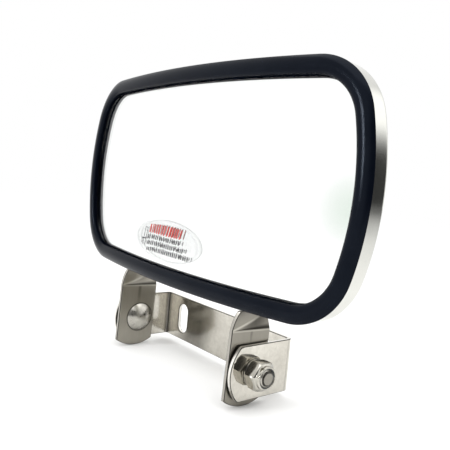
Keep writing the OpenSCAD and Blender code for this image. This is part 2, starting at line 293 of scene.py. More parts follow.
def grid_faces(columns, rows, first=0):
    """Quads of a grid whose points run along its columns first."""
    n = columns + 1
    return [(first + j * n + i, first + j * n + i + 1, first + (j + 1) * n + i + 1, first + (j + 1) * n + i)
            for j in range(rows) for i in range(columns)]


def tube_faces(rows, n, closed):
    """Quads between rows of n points each: a ring if closed, or else a tube with two caps."""
    faces = []
    for r in range(rows if closed else rows - 1):
        faces += band(r * n, (r + 1) % rows * n, n)
    if not closed:
        faces += [tuple(range(n - 1, -1, -1)), tuple((rows - 1) * n + k for k in range(n))]
    return faces


def lathe(profile, angles, closed=True, radius=None, side=1):
    """A body turned about X. profile holds (x, r) or (x, r, tag); radius(tag, x, r, a) may change x and r."""
    points = []
    for step in profile:
        for a in angles:
            x, r = step[0], step[1]
            if radius and len(step) > 2:
                x, r = radius(step[2], x, r, a)
            points.append((side * x, r * math.cos(a), r * math.sin(a)))
    return points, tube_faces(len(profile), len(angles), closed)


def even_angles(n):
    return [2 * PI * k / n for k in range(n)]


def rounded_profile(x0, x1, r0, r1, e):
    """Closed (x, r) section of a washer with edges rounded by e."""
    corners = ((x1 - e, r1 - e, 0), (x0 + e, r1 - e, 90), (x0 + e, r0 + e, 180), (x1 - e, r0 + e, 270))
    return [q for cx, cr, a in corners for q in deg_arc(cx, cr, e, a, a + 90, 3)]


def sheet_part(outline, holes, place, us, vs, lines=()):
    """Points and faces of a bent sheet. The outline runs left-about and holes right-about, in the flat
    pattern (u, v); place(u, v, h) bends a point of the flat sheet at height h off its middle. Faces are
    marked 0 on the sheet's two sides, 1 on rounded edges and 2 on the straight part between those."""
    loops = [cleaned(loop) for loop in [outline] + list(holes)]
    half = SHEET / 2
    quarter = [(EDGE * (1 - math.cos(a)), half - EDGE * (1 - math.sin(a))) for a in (PI / 2, PI / 4, 0)]
    levels = quarter + [(d, -h) for d, h in reversed(quarter)]
    flat, edges = [], []
    rings = [inset(loop, EDGE) for loop in loops]
    for ring in rings:
        base = len(flat)
        flat += ring
        edges += [(base + i, base + (i + 1) % len(ring)) for i in range(len(ring))]
    guard = [inset(loop, EDGE + EDGE_ROOM) for loop in loops]
    flat += [(u, v) for v in vs for u in us if between((u, v), guard)]
    for (u0, v0), (u1, v1) in lines:
        base = len(flat)
        n = 24
        flat += [(u0 + (u1 - u0) * i / n, v0 + (v1 - v0) * i / n) for i in range(n + 1)]
        edges += [(base + i, base + i + 1) for i in range(n)]
    found = delaunay_2d_cdt([Vector(p) for p in flat], edges, [], 1, 1e-5)
    plane, tris = [tuple(p) for p in found[0]], found[2]
    kept = []
    for tri in tris:
        c = tuple(sum(plane[i][k] for i in tri) / 3 for k in (0, 1))
        if between(c, rings):
            kept.append(tuple(tri))
    top = [place(u, v, half) for u, v in plane]
    bottom = [place(u, v, -half) for u, v in plane]
    points = top + bottom
    faces = kept + [tuple(len(plane) + i for i in reversed(tri)) for tri in kept]
    marks = [0] * len(faces)
    uvs = plane + plane
    for loop in loops:
        base = len(points)
        n = len(loop)
        for d, h in levels:
            points += [place(u, v, h) for u, v in inset(loop, d)]
            uvs += inset(loop, d)
        for r in range(len(levels) - 1):
            faces += band(base + r * n, base + (r + 1) * n, n)
            marks += [2 if r == 2 else 1] * n
    return points, faces, marks, [(u * MM, v * MM) for u, v in uvs]


def span(a, b, step):
    """Evenly spaced numbers from a to b, about step apart."""
    n = max(1, round((b - a) / step))
    return [a + (b - a) * i / n for i in range(n + 1)]


# ---- materials

# Direction and spread, in degrees, of the painted reflection of the pale green room in the glass.
GREEN_REFLECTION_DIRECTION = (-0.39, -0.92, 0.015)
GREEN_REFLECTION_SPREAD = (0.5, 5.5)


class Nodes:
    """A node tree, built up by short calls."""

    def __init__(self, tree):
        self.tree = tree
        self.coords = self.add("ShaderNodeTexCoord")

    def add(self, kind, **settings):
        """A node with some of its properties and inputs set."""
        node = self.tree.nodes.new(kind)
        for key, value in settings.items():
            if hasattr(node, key):
                setattr(node, key, value)
            else:
                node.inputs[key.replace("_", " ")].default_value = value
        return node

    def link(self, a, b):
        self.tree.links.new(a, b)

    def noise(self, scale, detail=4, roughness=0.5, source="Object"):
        """Noise with one scale, or stretched by a scale for each direction."""
        mapping = self.add("ShaderNodeMapping")
        mapping.inputs["Scale"].default_value = scale if isinstance(scale, tuple) else (scale,) * 3
        self.link(self.coords.outputs[source], mapping.inputs["Vector"])
        node = self.add("ShaderNodeTexNoise", Detail=detail, Roughness=roughness)
        node.inputs["Scale"].default_value = 1
        self.link(mapping.outputs["Vector"], node.inputs["Vector"])
        return node.outputs["Fac"]

    def parts(self, source):
        """The x, y and z of a texture coordinate."""
        node = self.add("ShaderNodeSeparateXYZ")
        self.link(self.coords.outputs[source], node.inputs[0])
        return node.outputs

    def ranged(self, value, low, high, from_low=0.3, from_high=0.7, **settings):
        """Maps from_low..from_high to low..high, and holds it there."""
        node = self.add("ShaderNodeMapRange", **settings)
        self.link(value, node.inputs["Value"])
        limits = (from_low, from_high, low, high)
        for key, number in zip(("From Min", "From Max", "To Min", "To Max"), limits):
            node.inputs[key].default_value = number
        return node.outputs["Result"]

    def maths(self, operation, a, b):
        node = self.add("ShaderNodeMath", operation=operation)
        for i, x in enumerate((a, b)):
            if isinstance(x, (int, float)):
                node.inputs[i].default_value = x
            else:
                self.link(x, node.inputs[i])
        return node.outputs[0]

    def times(self, a, b):
        return self.maths("MULTIPLY", a, b)

    def plus(self, a, b):
        return self.maths("ADD", a, b)

    def most(self, a, b):
        return self.maths("MAXIMUM", a, b)

    def off(self, value, centre):
        """How far a value is from a centre."""
        return self.maths("ABSOLUTE", self.maths("SUBTRACT", value, centre), 0)

    def blend(self, factor, a, b):
        """A colour between two, each a colour or a socket."""
        node = self.add("ShaderNodeMix", data_type="RGBA")
        self.link(factor, node.inputs["Factor"])
        for i, x in zip((6, 7), (a, b)):
            if isinstance(x, tuple):
                node.inputs[i].default_value = (*x, 1)
            else:
                self.link(x, node.inputs[i])
        return node.outputs[2]

    def toward(self, source, direction):
        """How far a vector reaches along a direction."""
        node = self.add("ShaderNodeVectorMath", operation="DOT_PRODUCT")
        self.link(source, node.inputs[0])
        node.inputs[1].default_value = Vector(direction).normalized()
        return node.outputs["Value"]

    def mixed(self, factor, a, b):
        """A shader between two."""
        node = self.add("ShaderNodeMixShader")
        for i, x in enumerate((factor, a, b)):
            self.link(x, node.inputs[i])
        return node.outputs[0]


class Look(Nodes):
    """A material with a Principled BSDF."""

    def __init__(self, name, metallic=0.0, **inputs):
        self.material = bpy.data.materials.new(name)
        self.material.use_nodes = True
        super().__init__(self.material.node_tree)
        self.bsdf = self.tree.nodes["Principled BSDF"]
        self.bsdf.inputs["Metallic"].default_value = metallic
        for key, value in inputs.items():
            self.bsdf.inputs[key.replace("_", " ")].default_value = value

    def scratches(self):
        return self.noise((220, 140, 180), detail=8, roughness=0.75)

    def surface(self, shader):
        self.link(shader, self.tree.nodes["Material Output"].inputs["Surface"])

    def colour(self, value):
        self.link(value, self.bsdf.inputs["Base Color"])

    def rough(self, value):
        self.link(value, self.bsdf.inputs["Roughness"])

    def bumps(self, *layers):
        """layers: (height socket, depth in mm), stacked."""
        last = None
        for height, depth in layers:
            node = self.add("ShaderNodeBump", Strength=1.0)
            node.inputs["Distance"].default_value = depth * MM
            self.link(height, node.inputs["Height"])
            if last:
                self.link(last, node.inputs["Normal"])
            last = node.outputs["Normal"]
        self.link(last, self.bsdf.inputs["Normal"])


def steel(name, light, dark, streak, rough, source="Object", grain=0.002, cloud=30, scratch=0.001,
          metallic=1.0):
    """Stainless steel: a grain running along one way, cloudy handling marks and fine scratches."""
    look = Look(name, metallic=metallic)
    fine = look.noise(streak, detail=3, roughness=0.6, source=source)
    clouds = look.noise(cloud, detail=5, roughness=0.55)
    marks = look.scratches()
    tone = look.plus(look.ranged(clouds, 0.0, 0.75), look.ranged(fine, 0.0, 0.25))
    look.colour(look.blend(tone, dark, light))
    spread = rough[1] - rough[0]
    look.rough(look.plus(look.ranged(fine, rough[0], rough[0] + spread * 0.5),
                         look.ranged(clouds, 0, spread * 0.5)))
    look.bumps((fine, grain), (marks, scratch))
    return look.material


def bracket_steel():
    """Stainless strip: polished ears and a satin web between them, with painted shade in a dark patch on the
    web and in dark lines inside and at the end of each fold."""
    look = Look("bracket_steel", metallic=1.0)
    fine = look.noise((35, 35, 1800), detail=3, roughness=0.6)
    clouds = look.noise((70, 45, 45), detail=6, roughness=0.6)
    marks = look.scratches()
    place = look.parts("Object")
    across = look.maths("ABSOLUTE", place["X"], 0)
    ear = look.ranged(across, 0, 1, (EAR_OUT - 2) * MM, (EAR_OUT - 1) * MM)
    # Painted shade: a dark line inside each fold.
    off_fold = look.off(across, (EAR_IN - 0.8) * MM)
    fold_inside_shade = look.times(look.ranged(off_fold, 1, 0, 0.5 * MM, 1.3 * MM),
                             look.ranged(place["Y"], 0, 1, -6 * MM, -4.5 * MM))
    specks = look.noise(330, detail=8, roughness=0.8)
    tone = look.plus(look.ranged(clouds, 0.0, 0.55), look.ranged(specks, 0.0, 0.45, 0.36, 0.64))
    clean = look.blend(tone, (0.46, 0.435, 0.385), (0.71, 0.685, 0.62))
    # Painted shade: a dark patch on the web near the left slot, standing for a dark reflection.
    off_patch = look.off(place["X"], -29 * MM)
    web_painted_shade = look.blend(look.ranged(off_patch, 0.6, 0, 7 * MM, 21 * MM), clean, (0.12, 0.115, 0.10))
    # Painted shade: a dark line on each ear where its fold ends.
    off_start = look.off(place["Y"], -FOLD_R * MM)
    fold_end_shade = look.times(ear, look.ranged(off_start, 0.3, 0, 0.1 * MM, 0.7 * MM))
    look.colour(look.blend(look.most(fold_inside_shade, fold_end_shade), web_painted_shade, (0.10, 0.095, 0.085)))
    satin = look.ranged(clouds, 0.14, 0.21)
    polished = look.ranged(clouds, 0.05, 0.11)
    mix = look.add("ShaderNodeMix", data_type="FLOAT")
    look.link(ear, mix.inputs[0])
    look.link(satin, mix.inputs[2])
    look.link(polished, mix.inputs[3])
    look.rough(mix.outputs[0])
    look.bumps((fine, 0.0005), (marks, 0.0018), (clouds, 0.015))
    return look.material


def arm_steel():
    """Satin strip with painted shade: a dark wedge above the crease, a dark streak below it, a dark ring
    round the bolt's head for its contact shadow, darker higher up towards the rim, and the right arm darker
    all over. Painted highlights: a bright line where the fold ends and one just below the crease."""
    look = Look("arm_steel", metallic=1.0)
    fine = look.noise((600, 20, 1), detail=3, roughness=0.6, source="UV")
    clouds = look.noise((60, 60, 30), detail=5, roughness=0.55)
    marks = look.scratches()
    place = look.parts("UV")
    along = look.plus(look.maths("DIVIDE", place["X"], ARM_W * MM), 0.5)
    above = look.maths("SUBTRACT", place["Y"], CREASE_Z * MM)
    # Painted shade: a dark wedge just above the crease, widening towards the back edge.
    wedge_top = look.plus(look.times(along, 3.2 * MM), 0.2 * MM)
    climb = look.maths("DIVIDE", above, wedge_top)
    wedge = look.times(look.ranged(climb, 1, 0, 0.35, 1),
                       look.ranged(above, 0, 1, -0.1 * MM, 0.15 * MM))
    # Painted highlight: a bright line along the fold's upper line, fading towards the back edge.
    fold_line = look.times(along, FOLD_CLIMB * (TWIST_TOP - CREASE_Z) * MM)
    off_fold = look.off(above, fold_line)
    fold_line_highlight = look.times(look.ranged(off_fold, 1, 0, 0.1 * MM, 1.1 * MM),
                        look.ranged(along, 0.9, 0, 0.35, 0.95))
    # Painted highlight: a bright line just below the crease.
    crease_highlight = look.ranged(look.off(above, -0.7 * MM), 0.55, 0, 0.1 * MM, 0.6 * MM)
    # Painted shade: a dark streak down the middle of the arm below the crease.
    off_middle = look.off(place["X"], 0.3 * MM)
    streak = look.times(look.ranged(off_middle, 0.5, 0, 0.3 * MM, 1.8 * MM),
                        look.times(look.ranged(above, 0, 1, -16 * MM, -3 * MM),
                                   look.ranged(above, 1, 0, -1.2 * MM, -0.8 * MM)))
    tone = look.plus(look.ranged(clouds, 0.0, 0.75), look.ranged(fine, 0.0, 0.25))
    plain = look.blend(tone, (0.275, 0.26, 0.222), (0.35, 0.33, 0.285))
    # Painted shade: darker higher up the arm, towards the rim.
    upper = look.blend(look.ranged(above, 0, 1, 5 * MM, 17 * MM), plain, (0.11, 0.103, 0.088))
    # Painted contact shadow: a dark ring round the bolt's head.
    off_bolt = look.add("ShaderNodeVectorMath", operation="DISTANCE")
    look.link(look.coords.outputs["UV"], off_bolt.inputs[0])
    off_bolt.inputs[1].default_value = (ARM_OFFSET * MM, 0, 0)
    bolt_ring_shadow = look.ranged(off_bolt.outputs["Value"], 0.9, 0, (2 * BOLT_R + 0.2) * MM, (2 * BOLT_R + 1) * MM)
    painted_shade = look.most(look.most(wedge, streak), bolt_ring_shadow)
    # Painted shade: the right arm is made darker all over than the left.
    right_arm_shade = look.ranged(look.parts("Object")["X"], 0, 0.2, -ARM_X * MM, ARM_X * MM)
    shaded = look.blend(look.most(painted_shade, right_arm_shade), upper, (0.05, 0.047, 0.04))
    look.colour(look.blend(look.most(fold_line_highlight, crease_highlight), shaded, (0.50, 0.48, 0.42)))
    look.rough(look.plus(look.ranged(fine, 0.26, 0.29), look.ranged(clouds, 0, 0.04)))
    look.bumps((fine, 0.00012), (marks, 0.0005))
    return look.material


def rubber_look():
    """Black rubber with a bluish sheen, a little dusty, with painted shade on its inner wall: the darkest
    colour and no gloss there.
    """
    look = Look("rim_rubber", Specular_Tint=(0.68, 0.80, 1.0, 1.0))
    grain = look.noise(2600, detail=3, roughness=0.6)
    lines = look.noise((6, 90, 1), detail=4, roughness=0.6, source="UV")
    dust = look.noise(38, detail=6, roughness=0.65)
    # Painted shade: the inner wall, the first rows of the section, gets no gloss and the darkest colour; the
    # colour mix below joins the dust with this painted shade.
    row = look.parts("UV")["Y"]
    look.link(look.ranged(row, 0.0, 0.10, 3.2, 5.6), look.bsdf.inputs["Specular IOR Level"])
    tone = look.times(look.ranged(dust, 0.0, 1.0, 0.4, 0.75),
                      look.ranged(row, 0.0, 1.0, 3.2, 5.6))
    look.colour(look.blend(tone, (0.0020, 0.0030, 0.0062), (0.0045, 0.0060, 0.0100)))
    look.rough(look.plus(look.ranged(dust, 0.08, 0.15), look.ranged(lines, -0.02, 0.04)))
    look.bumps((lines, 0.012), (grain, 0.004))
    return look.material


def even_look(name, scale, detail, grain, dark, light, rough, bump=0.0, **inputs):
    """One cloudy noise drives colour, roughness and a slight relief."""
    look = Look(name, **inputs)
    clouds = look.noise(scale, detail=detail, roughness=grain)
    look.colour(look.blend(clouds, dark, light))
    look.rough(look.ranged(clouds, *rough))
    if bump:
        look.bumps((clouds, bump))
    return look.material


def foam_look():
    look = Look("foam")
    cells = look.add("ShaderNodeTexVoronoi", Scale=1400)
    look.link(look.coords.outputs["Object"], cells.inputs["Vector"])
    clouds = look.noise(60, detail=4)
    look.colour(look.blend(clouds, (0.012, 0.012, 0.013), (0.03, 0.03, 0.031)))
    look.rough(look.ranged(clouds, 0.8, 0.95))
    look.bumps((cells.outputs["Distance"], 0.15))
    return look.material


def glass_look():
    """The clear body of the mirror glass, with a trace of fingerprints. The pale green room behind the camera
    is a painted reflection: a soft green patch in the glass's colour where its reflection points at the room,
    found from the way the glass looks."""
    look = Look("glass_clear", IOR=1.5, Transmission_Weight=1.0)
    wipe = look.noise((14, 14, 40), detail=5, roughness=0.6)
    clear = look.blend(wipe, (0.99, 0.998, 0.992), (0.996, 1.0, 0.997))
    # Painted reflection: the glass's colour turns pale green where its reflection points at the room behind
    # the camera.
    toward = look.toward(look.coords.outputs["Reflection"], GREEN_REFLECTION_DIRECTION)
    near, far = (math.cos(math.radians(a)) for a in GREEN_REFLECTION_SPREAD)
    look.colour(look.blend(look.ranged(toward, 0, 1, far, near), clear, (0.62, 0.73, 0.63)))
    look.rough(look.ranged(wipe, 0.0, 0.012, 0.45, 0.8))
    return look.material


def film_look():
    """Clear plastic film: see-through, with a thin gloss that catches light at a glance."""
    look = Look("label_film")
    ripple = look.noise(60, detail=3)
    gloss = look.add("ShaderNodeBsdfGlossy")
    look.link(look.ranged(ripple, 0.02, 0.08), gloss.inputs["Roughness"])
    clear = look.add("ShaderNodeBsdfTransparent")
    look.link(look.blend(ripple, (0.99, 0.992, 0.993), (1.0, 1.0, 1.0)), clear.inputs["Color"])
    facing = look.add("ShaderNodeLayerWeight", Blend=0.3)
    share = look.ranged(facing.outputs["Facing"], 0.02, 0.3, 0.2, 1.0)
    look.surface(look.mixed(share, clear.outputs[0], gloss.outputs[0]))
    return look.material


def ink_look(name, light, dark):
    """Screen-printed ink, a little uneven."""
    return even_look(name, 1500, 4, 0.7, dark, light, (0.35, 0.6), 0.005)


BRACKET_STEEL = bracket_steel()
ARM_STEEL = arm_steel()
SHELL_STEEL = steel("shell_steel", (0.70, 0.70, 0.66), (0.58, 0.58, 0.54), (2, 160, 1), (0.10, 0.17),
                    source="UV")
BACK_STEEL = steel("shell_back_steel", (0.72, 0.72, 0.69), (0.58, 0.58, 0.55), (2, 160, 1), (0.30, 0.42),
                   source="UV", metallic=0.45)
BOLT_STEEL = steel("fastener_steel", (0.56, 0.54, 0.485), (0.38, 0.365, 0.33), (900, 500, 500), (0.24, 0.34),
                   cloud=160)
NUT_STEEL = steel("nut_steel", (0.60, 0.58, 0.52), (0.40, 0.385, 0.34), (900, 500, 500), (0.08, 0.18),
                  cloud=160)
# Painted shade: a dark colour for rounded sheet edges, the bolt's tip chamfer and the rim under its dome.
EDGE_SHADE = steel("edge_painted_shade", (0.07, 0.067, 0.06), (0.03, 0.028, 0.025), 900, (0.3, 0.4))
# Painted highlights: a bright straight edge band on the bracket and a softer one on the arms.
EDGE_HIGHLIGHT = steel("edge_painted_highlight", (0.86, 0.84, 0.79), (0.72, 0.70, 0.64), 900, (0.3, 0.4))
EDGE_SOFT_HIGHLIGHT = steel("edge_soft_painted_highlight", (0.46, 0.44, 0.40), (0.30, 0.29, 0.26), 900, (0.3, 0.4))
# Painted shade: the washer is near black, so its rounded edges show as dark rings against the ear and the
# nut.
WASHER_SHADE = steel("washer_painted_shade", (0.12, 0.115, 0.105), (0.05, 0.048, 0.045), 500, (0.25, 0.4))
END_STEEL = steel("bolt_end_steel", (0.36, 0.34, 0.30), (0.22, 0.21, 0.185), 700, (0.3, 0.42))
RUBBER = rubber_look()
FIBRE = even_look("friction_fibre", 900, 6, 0.7, (0.012, 0.012, 0.013), (0.06, 0.058, 0.055),
                  (0.6, 0.85), 0.02)
NYLON = even_look("nylon", 300, 4, 0.5, (0.06, 0.06, 0.062), (0.12, 0.12, 0.122), (0.35, 0.5), 0.01,
                  Subsurface_Weight=0.15)
FOAM = foam_look()
GLASS = glass_look()
SILVER = even_look("glass_silver", 10, 2, 0.5, (0.975, 0.985, 0.978), (0.985, 0.992, 0.986), (0.0, 0.01),
                   metallic=1.0)
FILM = film_look()
RED_INK = ink_look("ink_red", (0.66, 0.035, 0.018), (0.40, 0.012, 0.008))
GREY_INK = ink_look("ink_grey", (0.055, 0.055, 0.058), (0.012, 0.012, 0.014))
PALE_INK = ink_look("ink_pale", (0.88, 0.89, 0.9), (0.74, 0.75, 0.77))

# ---- bracket

WEB_HALF = EAR_OUT - FOLD_R
FOLD_MID = FOLD_R - SHEET / 2
FOLD_LEN = FOLD_MID * PI / 2


def developed(reach):
    """Place along the flat strip of a point of an ear, from its distance to the mounting face."""
    return WEB_HALF + FOLD_LEN + reach - FOLD_R


def place_bracket(u, v, h):
    """Folds the flat strip into a U: h counts outwards."""
    s = -1 if u < 0 else 1
    u = abs(u)
    if u <= WEB_HALF:
        return s * u, h - SHEET / 2, v
    if u < WEB_HALF + FOLD_LEN:
        a = (u - WEB_HALF) / FOLD_MID
        r = FOLD_MID + h
        return s * (WEB_HALF + r * math.sin(a)), -FOLD_R + r * math.cos(a), v
    return s * (WEB_HALF + FOLD_MID + h), -(u - WEB_HALF - FOLD_LEN) - FOLD_R, v


def nose_outline():
    """An ear's end from bottom to top: a large arc blended into the straight edges."""
    mid = developed(EAR_REACH - NOSE_R)
    rise = BRACKET_H / 2 - NOSE_BLEND
    run = math.sqrt((NOSE_R - NOSE_BLEND) ** 2 - rise ** 2)
    turn = math.degrees(math.atan2(rise, run))
    return (deg_arc(mid + run, -rise, NOSE_BLEND, -90, -turn, 6) + deg_arc(mid, 0, NOSE_R, -turn, turn, 30)
            + deg_arc(mid + run, rise, NOSE_BLEND, turn, 90, 6))


def slot_outline(x):
    half = (SLOT_LEN - SLOT_W) / 2
    return (deg_arc(x, half, SLOT_W / 2, 180, 0, 20) + deg_arc(x, -half, SLOT_W / 2, 0, -180, 20))


def circle_outline(x, y, r, n=48):
    return [(x + r * math.cos(a), y - r * math.sin(a)) for a in even_angles(n)]


nose = nose_outline()
bracket_outline = densified(nose + [(-u, v) for u, v in reversed(nose)])
ear_u = developed(-PIVOT_Y)
bracket_holes = [densified(slot_outline(s * SLOT_X)) for s in (-1, 1)]
bracket_holes += [circle_outline(s * ear_u, 0, BORE_R) for s in (-1, 1)]
fold_us = span(WEB_HALF - 0.6, WEB_HALF + FOLD_LEN + 0.6, 0.45)
far_us = span(WEB_HALF + FOLD_LEN + 2, developed(EAR_REACH), 2)
bracket_us = span(-WEB_HALF + 2, WEB_HALF - 2, 2) + fold_us + far_us
bracket_us += [-u for u in fold_us + far_us]
bracket_mesh = sheet_part(bracket_outline, bracket_holes, place_bracket, bracket_us,
                          span(-BRACKET_H / 2, BRACKET_H / 2, 2))
# The bracket's rounded edges take painted shade and its straight edges a painted highlight.
make_piece("bracket_sheet", *bracket_mesh[:2], "bracket", BRACKET_STEEL, "bracket_steel", ["u_bracket"],
           marks=bracket_mesh[2], extra=(EDGE_SHADE, EDGE_HIGHLIGHT), weld=WELD)

# ---- pivot hardware


def hexagon_radius(a, flat):
    """Distance to a hexagon's side at angle a, with slightly rounded corners."""
    turn = (a + PI / 6) % (PI / 3) - PI / 6
    return min(flat / math.cos(turn), flat / math.cos(PI / 6) * 0.988)


def nut_angles():
    """Angles round a hexagon that crowd at its corners."""
    offsets = (-30, -29.2, -28.2, -26, -20, -10, 0, 10, 20, 26, 28.2, 29.2)
    return [math.radians(60 * k + o) for k in range(6) for o in offsets]


def nut_shape(tag, x, r, a):
    """Hexagon sides, and the curved edge that a cone leaves on them."""
    side = hexagon_radius(a, NUT_AF / 2)
    cone = math.tan(math.radians(30))
    if tag == "low":
        return x + max(0, side - r) * cone, side
    if tag == "high":
        return x - max(0, side - r) * cone, side
    return x, r


def lock_nut_mesh(side):
    hex_end = NUT_X + NUT_HEX_H
    lip = 0.6
    profile = [(NUT_X, BORE_R + 0.5), (NUT_X, NUT_AF / 2 - 0.4), (NUT_X, NUT_AF / 2 - 0.15, "low"),
               (hex_end, COLLAR_R + 0.25, "high"), (hex_end, COLLAR_R + 0.2), (hex_end + 0.15, COLLAR_R)]
    profile += [(NUT_END - lip, COLLAR_R)]
    profile += [(NUT_END - lip + lip * math.sin(a), COLLAR_R - lip + lip * math.cos(a))
                for a in (PI / 8, PI / 4, PI * 3 / 8, PI / 2)]
    profile += [(NUT_END, BORE_R + 0.85), (NUT_END - 0.2, BORE_R + 0.62), (NUT_END - 0.9, BORE_R + 0.55),
                (NUT_END - 0.9, BORE_R + 0.02), (NUT_X + 0.6, BORE_R + 0.02)]
    return lathe(profile, nut_angles(), radius=nut_shape, side=side)


def bolt_mesh(side):
    """Domed head, square neck and a threaded shank with a chamfered tip."""
    angles = even_angles(64)
    rim = DOME_RIM
    rows = [(ARM_IN - DOME_H + 1e-3, 0.02)]
    reach = math.asin((2 * BOLT_R - rim) / DOME_R)
    for i in range(1, 19):
        a = reach * i / 18
        rows.append((ARM_IN - DOME_H + DOME_R * (1 - math.cos(a)), DOME_R * math.sin(a)))
    rows += [(ARM_IN - rim * 0.6, 2 * BOLT_R - rim * 0.25), (ARM_IN - rim * 0.25, 2 * BOLT_R),
             (ARM_IN, 2 * BOLT_R - 0.15), (ARM_IN, BOLT_R)]
    head = lathe(rows, angles, closed=False, side=side)

    def thread(tag, x, r, a):
        phase = (x / THREAD_PITCH - side * a / (2 * PI)) % 1
        tooth = abs(2 * phase - 1)
        return x, r - THREAD_DEPTH * tag * max(0.0, min(1.0, 1.25 * tooth - 0.12))

    start = ARM_OUT + 1.2
    shank = [(ARM_IN - 0.5, 0.05), (ARM_IN - 0.5, BOLT_R - 0.05), (start, BOLT_R - 0.05)]
    n = 110
    for i in range(1, n + 1):
        x = start + (BOLT_END - start) * i / n
        fade = min(1, i / 10)
        r = BOLT_R - 0.05 - 1.6 * max(0, x - (BOLT_END - TIP_BEVEL))
        deep = fade * min(1, max(0.0, (r - BOLT_R + THREAD_DEPTH + 0.2) / THREAD_DEPTH))
        shank.append((x, r, deep))
    end_r = BOLT_R - 1.7
    shank += [(BOLT_END, end_r), (BOLT_END - 0.03, end_r * 0.6), (BOLT_END - 0.03, 0.02)]
    body = lathe(shank, angles, closed=False, radius=thread, side=side)
    x0, x1 = sorted((side * (ARM_IN + 0.01), side * (ARM_OUT - 0.1)))
    square = [(BOLT_R * a, BOLT_R * b) for a, b in ((-1, -1), (1, -1), (1, 1), (-1, 1))]
    neck = ([(x, y, z) for x in (x0, x1) for y, z in square], tube_faces(2, 4, False))
    return joined([head, body, neck])


def washer_mesh(side, x0, x1, r_in, r_out, e):
    return lathe(rounded_profile(x0, x1, r_in, r_out, e), even_angles(96), side=side)


def reaches(piece):
    """Every face of a piece with its nearest and furthest distance from the middle plane, in mm."""
    for polygon in piece.data.polygons:
        xs = [abs(piece.data.vertices[i].co.x) / MM for i in polygon.vertices]
        yield polygon, min(xs), max(xs)


for side, name in ((-1, "left"), (1, "right")):
    turn = HEAD @ Matrix.Rotation(math.radians(NUT_TURN), 4, "X")
    make_piece(name + "_lock_nut_steel", *lock_nut_mesh(side), name + "_nut", NUT_STEEL, "fastener_steel",
               [name + "_lock_nut"], turn)
    insert = washer_mesh(side, NUT_X + NYLON_START, NUT_END - 0.55, BORE_R + 0.03, NYLON_R, 0.15)
    make_piece(name + "_nylon_insert", *insert, name + "_nut", NYLON, "nylon", [name + "_nylon_ring"], turn)
    bolt = head_piece(name + "_bolt_steel", bolt_mesh(side), BOLT_STEEL, "fastener_steel",
                      [name + "_pivot_bolt"], extra=(END_STEEL, EDGE_SHADE))
    # The bolt's end face takes its own steel; its tip chamfer and the rim under its dome take painted shade.
    for polygon, near, far in reaches(bolt):
        if near > BOLT_END - 0.05:
            polygon.material_index = 1
        elif near > BOLT_END - TIP_BEVEL or near > ARM_IN - DOME_RIM * 0.65 and far < ARM_IN + 1e-3:
            polygon.material_index = 2
    flat = washer_mesh(side, EAR_OUT, NUT_X, BOLT_R + 0.25, WASHER_R, WASHER_ROUND)
    washer = make_piece(name + "_plain_washer", *flat, "bracket", WASHER_SHADE, "fastener_steel",
                        [name + "_flat_washer"], AXLE, extra=(NUT_STEEL,))
    # The washer's rim and bore take the nut's steel; its sides and rounded edges keep the painted shade.
    for polygon, near, far in reaches(washer):
        if near > EAR_OUT + WASHER_ROUND * 0.9 and far < NUT_X - WASHER_ROUND * 0.9:
            polygon.material_index = 1
    fibre = washer_mesh(side, ARM_OUT, EAR_IN, BOLT_R + 0.2, FRICTION_R, 0.15)
    make_piece(name + "_fibre_washer", *fibre, "bracket", FIBRE, "friction_fibre",
               [name + "_friction_washer"], AXLE)

# ---- arms


def climbed(v):
    """How far a height is up the twist, from 0 at the crease to 1 at its top."""
    return min(1, max(0, (v - CREASE_Z) / (TWIST_TOP - CREASE_Z)))


def strip_angle(v):
    """Quarter turn of the strip, in radians, at height v."""
    t = climbed(v)
    return PI / 2 * (TWIST_SHARE * t + (1 - TWIST_SHARE) * smooth(t ** 2))


def strip_y(v):
    return -ARM_OFFSET + (SHELL_BACK + SHEET / 2 + ARM_OFFSET) * smooth(climbed(v) ** 1.2)


def fold(u, v):
    """Set-back of the folded wedge above the crease, with a rounded upper line."""
    t = climbed(v)
    climb = FOLD_CLIMB * (u / ARM_W + 0.5)
    least = (t + climb - math.sqrt((t - climb) ** 2 + 0.02 ** 2)) / 2
    return FOLD_SLOPE * (TWIST_TOP - CREASE_Z) * max(0, least) * (1 - smooth(t))


def place_arm(u, v, h):
    a = strip_angle(v)
    h -= fold(u, v)
    return h * math.cos(a) - u * math.sin(a), strip_y(v) + u * math.cos(a) + h * math.sin(a), v


def relief_u(v):
    """Front limit of the strip behind the shell: both faces stay behind the shell's back plane."""
    a = strip_angle(v)
    c = max(math.cos(a), 1e-4)
    sink = fold(0, v)
    gap = max((SHELL_BACK - strip_y(v) - (h - sink) * math.sin(a)) / c for h in (-SHEET / 2, SHEET / 2))
    return max(-ARM_W / 2, gap + 0.05)


def arm_outline():
    half = ARM_W / 2
    arc_r = (half ** 2 + ARM_ARC ** 2) / (2 * ARM_ARC)
    swing = math.degrees(math.asin(half / arc_r))
    bottom = deg_arc(0, -ARM_DROP - ARM_ARC + arc_r, arc_r, -90 - swing, -90 + swing, 24)
    top = deg_arc(0, ARM_TOP + ARM_ARC - arc_r, arc_r, 90 - swing, 90 + swing, 24)
    front = [(-half, ARM_TOP), (-half, TWIST_TOP - 0.5)]
    front += [(relief_u(v), v) for v in span(TWIST_TOP - 1.5, RELIEF_Z + 1.5, -1.0) if relief_u(v) > -half]
    u = relief_u(RELIEF_Z)
    front += [(u, RELIEF_Z + 1.5), (u - 0.5, RELIEF_Z + 0.5), (u - 1.5, RELIEF_Z), (-half, RELIEF_Z)]
    return bottom + top + front


